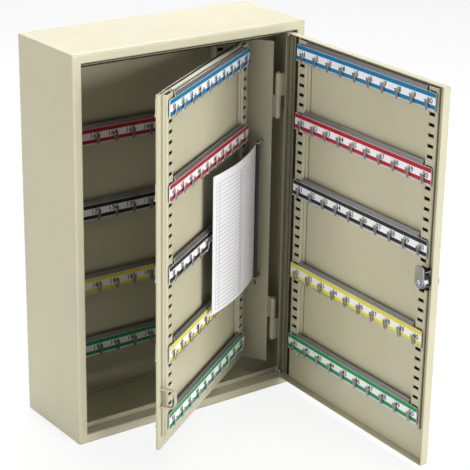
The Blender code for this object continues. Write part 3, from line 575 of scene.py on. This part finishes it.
def reach(node, axes):
    """The lowest and highest values of a node along each of some directions."""
    points = [vertex.co for vertex in NODES[node].data.vertices]
    values = [[point.dot(axis) for point in points] for axis in axes]
    return [(min(row), max(row)) for row in values]


def face_place(axes, distances):
    """A matrix with its X, Y and Z along three axes, at the given distances along them."""
    turn = Matrix(axes).transposed()
    return Matrix.Translation(turn @ Vector(distances)) @ turn.to_4x4()


def mesh_object(name, bm, finish, body):
    mesh = bpy.data.meshes.new(name)
    bm.to_mesh(mesh)
    bm.free()
    mesh.materials.append(finish)
    obj = bpy.data.objects.new(name, mesh)
    bpy.context.scene.collection.objects.link(obj)
    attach(obj, body)
    return obj


def prism(bm, first, second):
    """A closed body between two rings of points."""
    ends = [[bm.verts.new(point) for point in ring] for ring in (first, second)]
    for a in range(len(first)):
        b = (a + 1) % len(first)
        bm.faces.new((ends[0][a], ends[0][b], ends[1][b], ends[1][a]))
    bm.faces.new(ends[0][::-1])
    bm.faces.new(ends[1])


def slab(bm, sides, heights, depth, thickness):
    """A thin upright plate, thickened outwards from a depth."""
    low, high = heights
    outer = depth + thickness
    ring = ((low, depth), (high, depth), (high, outer), (low, outer))
    prism(bm, *([(x, *point) for point in ring] for x in sides))


def strip(corner, across, along, length, profile):
    """A profile of (distance across, height) points, drawn out along a line from a corner on a sheet."""
    out = across.cross(along)
    bm = bmesh.new()
    ends = (corner, corner + along * length)
    prism(bm, *([end + across * a + out * h for a, h in profile] for end in ends))
    bmesh.ops.recalc_face_normals(bm, faces=bm.faces)
    return bm


def rib_profile(width, ribs=()):
    """The profile of a flat strip with a square rib at each of the given distances across."""
    points = [(0, STRIP_HEIGHT)]
    for rib in ribs:
        left, right = rib - RIB_WIDTH / 2, rib + RIB_WIDTH / 2
        points += [(left, STRIP_HEIGHT), (left, RIB_HEIGHT), (right, RIB_HEIGHT), (right, STRIP_HEIGHT)]
    return points + [(width, STRIP_HEIGHT), (width, 0), (0, 0)]


def button(place, outward, radius, height):
    """A low domed disc on a surface, for a rivet, a cap or the end of a pin."""
    bm = bmesh.new()
    rings = []
    for share, rise in DOME:
        circle = []
        for i in range(DISC_SIDES):
            turn = 2 * math.pi * i / DISC_SIDES
            at = (radius * share * math.cos(turn), radius * share * math.sin(turn), height * rise)
            circle.append(bm.verts.new(at))
        rings.append(circle)
    for first, second in zip(rings, rings[1:]):
        for i in range(DISC_SIDES):
            j = (i + 1) % DISC_SIDES
            bm.faces.new((first[i], first[j], second[j], second[i]))
    bm.faces.new(rings[0][::-1])
    bm.faces.new(rings[-1])
    turn = outward.to_track_quat("Z", "Y").to_matrix().to_4x4()
    bm.transform(Matrix.Translation(place) @ turn)
    return bm


# Hook bars with their labels and numbers


def bar_frame(node, body, backwards):
    """A matrix at the middle of a label's top, X along the bar and Z out of its face, and the length."""
    axes = face_axes(body, backwards)
    (left, right), (_, top), (_, tip) = reach(node, axes)
    place = face_place(axes, ((left + right) / 2, top - TOP_TO_LABEL, tip - TIP_TO_FACE))
    return place, right - left


def fine_bar(node, place, body):
    """A bar with its hooks drawn finer than in the solid, which it stands for."""
    source = NODES[node]
    bm = bmesh.new()
    bm.from_mesh(source.data)
    bm.transform(place.inverted())
    for vertex in bm.verts:
        at = vertex.co
        hook = min(HOOKS, key=lambda x: abs(x - at.x))
        if at.z > LIP_OFF - ROUNDING and abs(at.x - hook) < HOOK_WIDTH / 2 + ROUNDING:
            at.x = hook + (at.x - hook) * HOOK_NARROWING
            at.z = LIP_OFF + (at.z - LIP_OFF) * HOOK_SHORTENING
    bm.transform(place)
    finish = source.material_slots[0].material
    made = mesh_object(f"{node}_fine", bm, finish, body)
    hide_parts(node)


def label_strip(name, place, length, finish, body):
    """The printed face of a bar."""
    bm = bmesh.new()
    half = length / 2 - LABEL_INSET
    low = -LABEL_HEIGHT + LABEL_INSET / 2
    slab(bm, (-half, half), (low, LABEL_RISE), LABEL_OFF, LABEL_THICKNESS)
    bmesh.ops.recalc_face_normals(bm, faces=bm.faces)
    layer = bm.loops.layers.uv.new("strip")
    for face in bm.faces:
        for loop in face.loops:
            x, y = loop.vert.co.x, loop.vert.co.y
            loop[layer].uv = (0.5 + x / length, (y + LABEL_HEIGHT) / (LABEL_HEIGHT + LABEL_RISE))
    bm.transform(place)
    mesh_object(name, bm, finish, body)


def number_mesh(number):
    """The outline of a plain number as a flat mesh, centred."""
    curve = bpy.data.curves.new("number", "FONT")
    curve.body = str(number)
    curve.size = NUMBER_SIZE
    curve.offset = NUMBER_WEIGHT
    curve.align_x = "CENTER"
    curve.resolution_u = 2
    text = bpy.data.objects.new("number", curve)
    bpy.context.scene.collection.objects.link(text)
    bpy.context.view_layer.update()
    mesh = bpy.data.meshes.new_from_object(text)
    bpy.data.objects.remove(text)
    bpy.data.curves.remove(curve)
    return mesh


def number_row(name, place, first, step, finish, body):
    """Ten printed numbers, one at each hook, and black strips of painted shade for the slits beside the
    hooks.
    """
    bm = bmesh.new()
    lift = LABEL_OFF + LABEL_THICKNESS + INK_THICKNESS
    heights = (-LABEL_HEIGHT + SLIT_SHADE_INSET, SLIT_SHADE_TOP)
    for number, hook in enumerate(HOOKS, first):
        mesh = number_mesh(number)
        mesh.transform(Matrix.Translation((hook + step, -NUMBER_DROP, lift)))
        bm.from_mesh(mesh)
        bpy.data.meshes.remove(mesh)
        # Black strips of painted shade where the slits beside the hook lie
        for side in (-1, 1):
            near = hook + side * HOOK_WIDTH * HOOK_NARROWING / 2
            far = near + side * SLIT_SHADE_WIDTH
            slab(bm, sorted((near, far)), heights, lift, INK_THICKNESS)
    bm.transform(place)
    mesh_object(name, bm, finish, body)


def hook_bars():
    """Every bar with its finer hooks, its printed label and its numbers."""
    prints = {colour: label_print(colour) for colour in INKS}
    ink = number_ink()
    for group, (first, step, body, backwards) in SETS.items():
        for row, colour in enumerate(INKS):
            node = f"{group}_bar_{colour}"
            place, length = bar_frame(node, body, backwards)
            fine_bar(node, place, body)
            label_strip(f"{group}_label_{colour}", place, length, prints[colour], body)
            start = first + row * HOOKS_PER_BAR
            number_row(f"{group}_numbers_{colour}", place, start, step, ink, body)


# Sheets of painted shade, thin trim mostly in painted shade, and small fixings


def linings(finish):
    """Painted shade: dark strips on the sheet behind the slotted uprights, so that the slots look deep
    and shaded.
    """
    for group, (_, _, body, backwards) in SETS.items():
        axes = face_axes(body, backwards)
        for side in ("left", "right"):
            (left, right), (foot, head), (sheet, _) = reach(f"{group}_upright_{side}", axes)
            sides = (-SHADE_SHEET_HALF_WIDTH, SHADE_SHEET_HALF_WIDTH)
            heights = (foot + SHADE_SHEET_INSET, head - SHADE_SHEET_INSET)
            bm = bmesh.new()
            slab(bm, sides, heights, 0, SHADE_SHEET_THICKNESS)
            bm.transform(face_place(axes, ((left + right) / 2, 0, sheet + SHADE_SHEET_OFF)))
            bmesh.ops.recalc_face_normals(bm, faces=bm.faces)
            mesh_object(f"{group}_shade_sheet_{side}", bm, finish, body)


def door_trim(painted_dark, dark):
    """The ribbed strip and the dark strip beside the door's hinge, and the strips beside its lock, all
    in painted shade.
    """
    up = Vector((0, 0, 1))
    across = rest_turn("door") @ Vector((-1, 0, 0))
    corner = at_rest(DOOR_STRIP, "door")
    ribbed = rib_profile(DOOR_STRIP_WIDTH, DOOR_STRIP_RIBS)
    made = strip(corner, across, up, DOOR_STRIP_LENGTH, ribbed)
    mesh_object("door_hinge_strip", made, painted_dark, "door")
    corner = corner + across * DOOR_STRIP_WIDTH
    made = strip(corner, across, up, DOOR_STRIP_LENGTH, rib_profile(DARK_STRIP_WIDTH))
    mesh_object("door_dark_strip", made, dark, "door")
    across = rest_turn("door") @ Vector((0, 1, 0))
    for end, (high, low) in FLANK_STRIP_ENDS.items():
        corner = at_rest(FLANK_STRIP, "door") + up * high
        made = strip(corner, across, -up, high - low, rib_profile(FLANK_STRIP_WIDTH))
        mesh_object(f"door_flank_strip_{end}", made, painted_dark, "door")


def opening_trim(painted_dark, dark):
    """The dark strip of painted shade under the top of the opening, and the bead on it, also in painted
    shade.
    """
    across, along = Vector((0, 0, 1)), Vector((-1, 0, 0))
    made = strip(LIP_STRIP, across, along, LIP_STRIP_LENGTH, rib_profile(DARK_STRIP_WIDTH))
    mesh_object("opening_dark_strip", made, dark, "cabinet")
    corner = LIP_STRIP + across * LIP_BEAD_RISE + across.cross(along) * STRIP_HEIGHT
    made = strip(corner, across, along, LIP_STRIP_LENGTH, rib_profile(LIP_BEAD_WIDTH))
    mesh_object("opening_bead", made, painted_dark, "cabinet")


def leaf_hem(paint):
    """The hem along the leaf's top."""
    across, along = Vector((0, 0, 1)), rest_turn("leaf") @ Vector((-1, 0, 0))
    section = ((0, HEM_DEPTH), (HEM_HEIGHT, HEM_DEPTH), (HEM_HEIGHT, 0), (0, 0))
    made = strip(at_rest(HEM, "leaf"), across, along, HEM_LENGTH, section)
    mesh_object("leaf_top_hem", made, paint, "leaf")


def hinge_fixings(paint, plate):
    """Rivets of the leaf's hinges, and the bright ends of their pins."""
    axis = AXES["leaf"]
    face = rest_turn("leaf") @ Vector((-1, 0, 0))
    for end, z in HINGE_HEIGHTS.items():
        sign = 1 if z > 0 else -1
        for i, drop in enumerate(RIVET_DROPS):
            place = Vector((ARM_FACE_X, axis.y + RIVET_OFF_AXIS, z - sign * drop))
            made = button(at_rest(place, "leaf"), face, RIVET_RADIUS, RIVET_HEIGHT)
            mesh_object(f"hinge_rivet_{end}_{i}", made, paint, "leaf")
        tip = Vector((axis.x, axis.y, z + sign * HINGE_HALF))
        made = button(tip, Vector((0, 0, sign)), PIN_RADIUS, PIN_HEIGHT)
        mesh_object(f"pin_end_{end}", made, plate, "cabinet")


def hole_caps(paint):
    """Painted caps in the wall holes, from the top left to the bottom right."""
    for i, (x, z) in enumerate(((-1, 1), (1, 1), (-1, -1), (1, -1))):
        place = Vector((x * HOLE_X, CAP_FACE_Y, z * HOLE_Z))
        made = button(place, Vector((0, -1, 0)), CAP_RADIUS, CAP_HEIGHT)
        mesh_object(f"hole_cap_{i}", made, paint, "cabinet")


# Stage, light and camera


def seen_directly(tree):
    """1 for the rays that show the background: from the camera, mirrored or through glass."""
    path = tree.nodes.new("ShaderNodeLightPath")
    value = path.outputs["Is Camera Ray"]
    for name in ("Is Glossy Ray", "Is Transmission Ray"):
        either = tree.nodes.new("ShaderNodeMath")
        either.operation = "MAXIMUM"
        tree.links.new(value, either.inputs[0])
        tree.links.new(path.outputs[name], either.inputs[1])
        value = either.outputs["Value"]
    return value


def floor():
    """A pale floor that looks white and keeps a soft shadow of the cabinet."""
    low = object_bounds()[0][2]
    bm = bmesh.new()
    bmesh.ops.create_grid(bm, x_segments=1, y_segments=1, size=FLOOR_SIZE)
    mesh = bpy.data.meshes.new("floor")
    bm.to_mesh(mesh)
    bm.free()
    obj = bpy.data.objects.new("floor", mesh)
    obj.location = (0, 0, low - FLOOR_GAP)
    bpy.context.scene.collection.objects.link(obj)
    m = Nodes("floor_white")
    m.fixed(Base_Color=(0.9, 0.9, 0.9, 1), Roughness=0.9, Specular_IOR_Level=0.1)
    glow = m.add("ShaderNodeEmission")
    mixed = m.add("ShaderNodeMixShader")
    m.link(m.times(seen_directly(m.tree), FLOOR_GLOW), mixed.inputs[0])
    m.link(m.shader.outputs["BSDF"], mixed.inputs[1])
    m.link(glow.outputs["Emission"], mixed.inputs[2])
    m.link(mixed.outputs["Shader"], m.tree.nodes["Material Output"].inputs["Surface"])
    mesh.materials.append(m.material)
    obj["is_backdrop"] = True


def world():
    """Soft white surroundings. The camera and reflections see plain white."""
    made = bpy.data.worlds.new("studio")
    made.use_nodes = True
    bpy.context.scene.world = made
    tree = made.node_tree
    level = tree.nodes.new("ShaderNodeMapRange")
    level.inputs["To Min"].default_value = SURROUNDINGS
    level.inputs["To Max"].default_value = 1.0
    tree.links.new(seen_directly(tree), level.inputs["Value"])
    background = tree.nodes["Background"]
    background.inputs["Color"].default_value = (1, 1, 1, 1)
    tree.links.new(level.outputs["Result"], background.inputs["Strength"])


def direction(azimuth, elevation):
    """A direction away from the cabinet, at degrees right of its front and above the level."""
    turn, lift = math.radians(azimuth), math.radians(elevation)
    return Vector((math.sin(turn) * math.cos(lift), -math.cos(turn) * math.cos(lift), math.sin(lift)))


def softbox(name, azimuth, elevation, distance, size, power):
    """A square lamp aimed at the cabinet, with its power in watts."""
    data = bpy.data.lights.new(name, "AREA")
    data.size = size
    data.energy = power
    obj = bpy.data.objects.new(name, data)
    away = direction(azimuth, elevation)
    obj.location = LAMP_TARGET + away * distance
    obj.rotation_euler = away.to_track_quat("Z", "Y").to_euler()
    bpy.context.scene.collection.objects.link(obj)


def lights():
    """A large front lamp, a wide fill from the left, a weak one overhead and one from behind."""
    softbox("front", azimuth=15, elevation=8, distance=5.0, size=2.4, power=248)
    softbox("fill", azimuth=-77, elevation=18, distance=5.0, size=3.6, power=158)
    softbox("overhead", azimuth=12, elevation=68, distance=2.5, size=1.4, power=18)
    softbox("rear", azimuth=158, elevation=60, distance=2.5, size=1.6, power=78)


def camera():
    """The camera of the photograph."""
    data = bpy.data.cameras.new("camera")
    data.sensor_width = SENSOR_MM
    data.lens = FOCAL_PIXELS * SENSOR_MM / PHOTO_SIZE
    data.clip_end = VIEW_DEPTH
    obj = bpy.data.objects.new("camera", data)
    back = direction(CAMERA_AZIMUTH, CAMERA_ELEVATION)
    right = (-back).cross(Vector((0, 0, 1))).normalized()
    up = back.cross(right)
    turn = Matrix((right, up, back)).transposed().to_4x4()
    roll = Matrix.Rotation(math.radians(CAMERA_ROLL), 4, "Z")
    obj.matrix_world = Matrix.Translation(CAMERA_PLACE) @ turn @ roll
    bpy.context.scene.collection.objects.link(obj)
    bpy.context.scene.camera = obj


# The scene

bpy.context.scene.view_settings.view_transform = "Standard"
camera()
finishes = dress_nodes()
# Besides the cream paint, two materials of painted shade: a brown one and a black one
paint, painted_dark, dark = finishes["cream_paint"], dusty_paint(), dark_recess()
hook_bars()
linings(dark)
door_trim(painted_dark, dark)
opening_trim(painted_dark, dark)
leaf_hem(paint)
hinge_fixings(paint, finishes["chrome"])
hole_caps(paint)
floor()
world()
lights()
